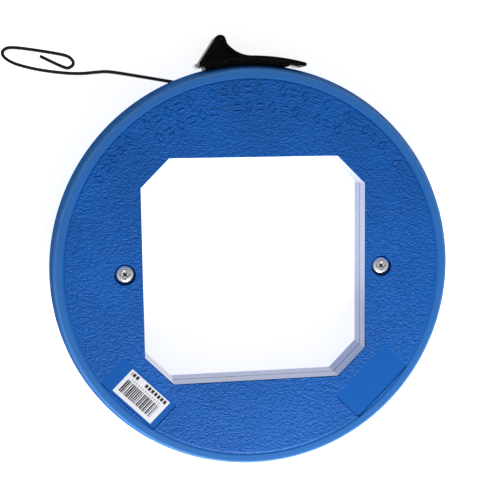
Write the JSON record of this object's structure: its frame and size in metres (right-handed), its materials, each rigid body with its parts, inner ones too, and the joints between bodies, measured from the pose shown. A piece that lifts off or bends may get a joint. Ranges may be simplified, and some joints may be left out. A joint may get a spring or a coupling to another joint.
{
  "type": "fish tape reel",
  "caption": "Flat round reel of steel fish tape: a moulded case with a hand opening, a thumb winder that runs round the rim and a tape end formed into a hook.",
  "frame": {"origin": "centre of the footprint of the case and winder, on the plane that the rear shell rests on", "axes": "+Z along the reel's axis out of the front shell, +Y from the axis towards the winder, +X to the right; the reel's axis crosses y = -6.95 mm"},
  "size_m": [0.2185, 0.214, 0.02],
  "materials": {
    "case_blue": "fine moulded grain with smooth borders",
    "winder_black": "satin black nylon, edges worn smooth",
    "shoe_black": "satin",
    "tape_steel": "dark blued spring steel",
    "zinc_plate": "bright zinc plate",
    "spring_steel": "bright rolled strip",
    "label_paper": "white printed label"
  },
  "bodies": {
    "case": {"front_shell": "case_blue", "rear_shell": "case_blue", "case_screw_left": "zinc_plate", "case_screw_right": "zinc_plate", "case_nut_left": "zinc_plate", "case_nut_right": "zinc_plate", "barcode_label": "label_paper", "fish_tape_coil": "tape_steel", "tape_anchor_clip": "spring_steel", "tape_anchor_screw": "zinc_plate"},
    "winder": {"winder_grip": "winder_black", "winder_saddle": "winder_black", "winder_wear_strip": "spring_steel", "winder_shoe": "shoe_black", "winder_screw_rear": "zinc_plate", "winder_screw_front": "zinc_plate"},
    "tape": {"fish_tape_end": "tape_steel"}
  },
  "joints": [
    {"name": "winder_orbit", "type": "hinge", "parent": "case", "child": "winder", "pos_m": [0, -0.00695, 0.01], "axis": [0, 0, 1], "continuous": true},
    {"name": "tape_feed", "type": "slide", "parent": "winder", "child": "tape", "axis": [-0.9871, 0.1599, 0], "range_m": [-0.025, 0.025]}
  ]
}
